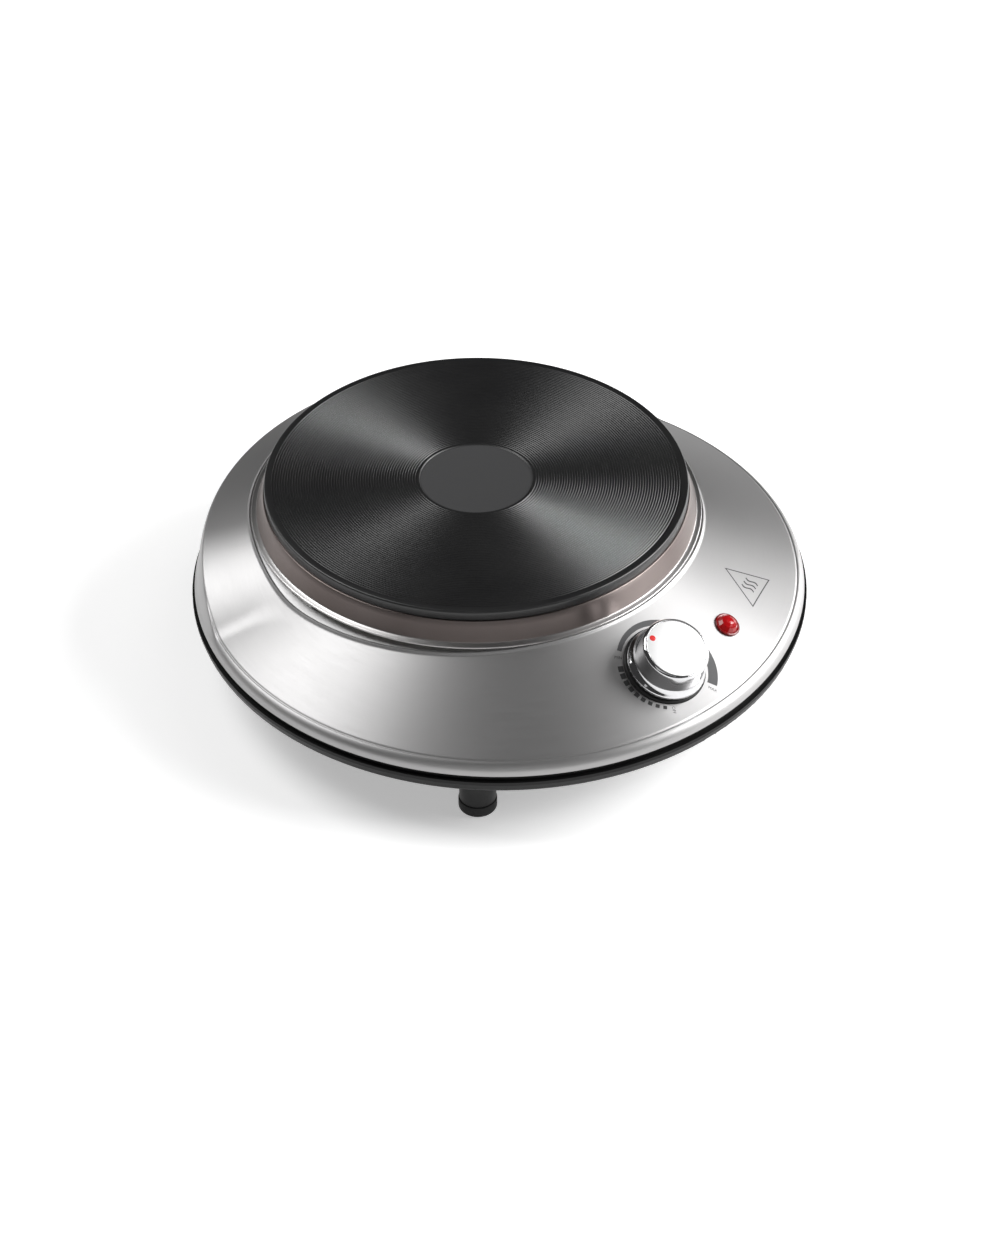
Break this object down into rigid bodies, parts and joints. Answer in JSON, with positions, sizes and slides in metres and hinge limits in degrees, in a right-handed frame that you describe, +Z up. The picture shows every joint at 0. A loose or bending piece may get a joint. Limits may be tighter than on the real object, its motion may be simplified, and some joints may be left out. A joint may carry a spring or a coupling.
{
  "type": "hot plate burner",
  "caption": "Round single hot plate burner: grooved iron plate in a flared steel shell on a black base, with a dial knob and a lamp.",
  "frame": {"origin": "on the table at the centre of the round base", "axes": "+Z up, the control knob faces -Y, +X is on the right of someone who faces the knob"},
  "size_m": [0.2704, 0.2704, 0.075],
  "materials": {
    "cast_iron": "black heat-resistant coating on fine turned grooves",
    "coil_wire": "oxidised resistance wire",
    "ceramic": "unglazed steatite and pressed magnesia",
    "zinc_steel": "zinc-plated pressed steel",
    "brass": "bare brass and silvered contacts",
    "ring_steel": "warm satin stainless steel",
    "gasket_fibre": "woven glass fibre",
    "bright_aluminium": "bright aluminised sheet",
    "brushed_shell": "fine brushed stainless steel",
    "black_enamel": "satin black enamel",
    "knob_chrome": "mirror chrome plating",
    "knob_face": "polished metal disc",
    "red_enamel": "red enamel",
    "black_plastic": "moulded black plastic",
    "red_lens": "clear red polycarbonate",
    "lamp_glass": "clear glass",
    "white_plastic": "moulded white plastic",
    "fuse_sleeve": "glass-fibre sleeve",
    "foot_rubber": "black rubber",
    "lead_brown": "silicone insulation",
    "lead_white": "glass-braid insulation",
    "lead_blue": "silicone insulation",
    "lead_green": "silicone insulation"
  },
  "bodies": {
    "housing": {"arm_root": "brass", "base_pan": "black_enamel", "base_screws": "zinc_steel", "bimetal_root": "zinc_steel", "block_screws": "brass", "centre_stud": "zinc_steel", "clamp_bridge": "zinc_steel", "clamp_screws": "zinc_steel", "cord_clamp": "black_plastic", "cord_gland": "black_plastic", "dial_bezel": "black_plastic", "earth_screw": "brass", "fixed_contact": "brass", "foot_pad_front_left": "foot_rubber", "foot_pad_front_right": "foot_rubber", "foot_pad_rear_left": "foot_rubber", "foot_pad_rear_right": "foot_rubber", "foot_screws": "zinc_steel", "heat_shield": "bright_aluminium", "heating_coils": "coil_wire", "hotplate_casting": "cast_iron", "insulation_filling": "ceramic", "lamp_clip": "zinc_steel", "lamp_holder": "white_plastic", "lamp_lens": "red_lens", "lead_earth": "lead_green", "lead_fuse": "brass", "lead_lamp": "lead_white", "lead_live": "lead_brown", "lead_neutral": "lead_blue", "lead_switched": "lead_white", "leg_front_left": "black_plastic", "leg_front_right": "black_plastic", "leg_rear_left": "black_plastic", "leg_rear_right": "black_plastic", "mains_block": "ceramic", "neon_lamp": "lamp_glass", "pin_guide": "ceramic", "plate_cover": "zinc_steel", "plate_terminal_block": "ceramic", "plate_terminals": "brass", "ring_gasket": "gasket_fibre", "shell_brackets": "zinc_steel", "spill_ring": "ring_steel", "stack_insulators": "ceramic", "stack_rivet": "zinc_steel", "stud_nut": "zinc_steel", "stud_washer": "zinc_steel", "thermal_fuse": "fuse_sleeve", "thermostat_bush": "brass", "thermostat_frame": "zinc_steel", "thermostat_nut": "zinc_steel", "top_shell": "brushed_shell"},
    "knob": {"knob_body": "knob_chrome", "knob_cap": "knob_face", "knob_dot": "red_enamel", "control_shaft": "zinc_steel"},
    "setting_pin": {"setting_pin": "ceramic"},
    "contact_arm": {"contact_arm": "brass"},
    "bimetal": {"bimetal_blade": "zinc_steel"}
  },
  "joints": [
    {"name": "knob_turn", "type": "hinge", "parent": "housing", "child": "knob", "pos_m": [0, -0.108, 0.04882], "axis": [0, 0.4321, -0.9018], "range_deg": [-113, 187]},
    {"name": "pin_slide", "type": "slide", "parent": "housing", "child": "setting_pin", "axis": [0, 0.4321, -0.9018], "range_m": [-0.00033934, 0.00056156]},
    {"name": "arm_bend", "type": "hinge", "parent": "housing", "child": "contact_arm", "pos_m": [-0.0256, -0.10314, 0.03867], "axis": [0, 0.9018, 0.4321], "range_deg": [-0.76, 1.26]},
    {"name": "bimetal_bend", "type": "hinge", "parent": "housing", "child": "bimetal", "pos_m": [-0.0256, -0.1007, 0.03358], "axis": [0, -0.9018, -0.4321], "range_deg": [0, 1.5]}
  ],
  "couplings": [
    {"joint": "pin_slide", "follows": "knob_turn", "m_per_rad": 0.00017189},
    {"joint": "arm_bend", "follows": "knob_turn", "ratio": 0.0067143}
  ]
}
